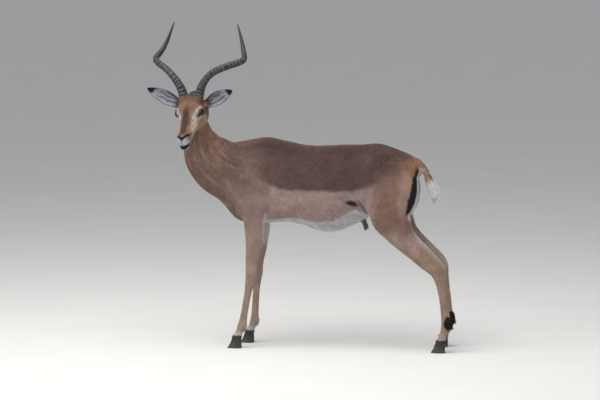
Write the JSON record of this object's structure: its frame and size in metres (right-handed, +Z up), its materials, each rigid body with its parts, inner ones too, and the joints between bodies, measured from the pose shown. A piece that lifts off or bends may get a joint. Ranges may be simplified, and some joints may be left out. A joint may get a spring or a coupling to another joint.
{
  "type": "impala antelope",
  "caption": "Life-size still model of a standing impala ram: slender tan body, white belly, dark rump and tail stripes, ridged curving horns and head turned to its left.",
  "frame": {"origin": "on the ground under the middle of the bounding box", "axes": "+Z up, +X towards the tail (the body runs along X with the head towards -X), -Y is the ram's left side, which its face is turned to"},
  "size_m": [1.3144, 0.3448, 1.39],
  "materials": {
    "coat": "short smooth hair",
    "horn": "ridged dark horn",
    "hoof": "dark hoof",
    "eye": "wet dark eye"
  },
  "bodies": {
    "root": {"eye_left": "eye", "eye_right": "eye", "fore_left_upper": "coat", "fore_left_lower": "coat", "fore_left_claw_inner": "hoof", "fore_left_claw_outer": "hoof", "fore_right_upper": "coat", "fore_right_lower": "coat", "fore_right_claw_inner": "hoof", "fore_right_claw_outer": "hoof", "hind_left_upper": "coat", "hind_left_lower": "coat", "hind_left_claw_inner": "hoof", "hind_left_claw_outer": "hoof", "hind_right_upper": "coat", "hind_right_lower": "coat", "hind_right_claw_inner": "hoof", "hind_right_claw_outer": "hoof", "trunk": "coat", "neck": "coat", "head": "coat", "tail": "coat", "horn_left": "horn", "ear_left": "coat", "horn_right": "horn", "ear_right": "coat"}
  },
  "joints": []
}
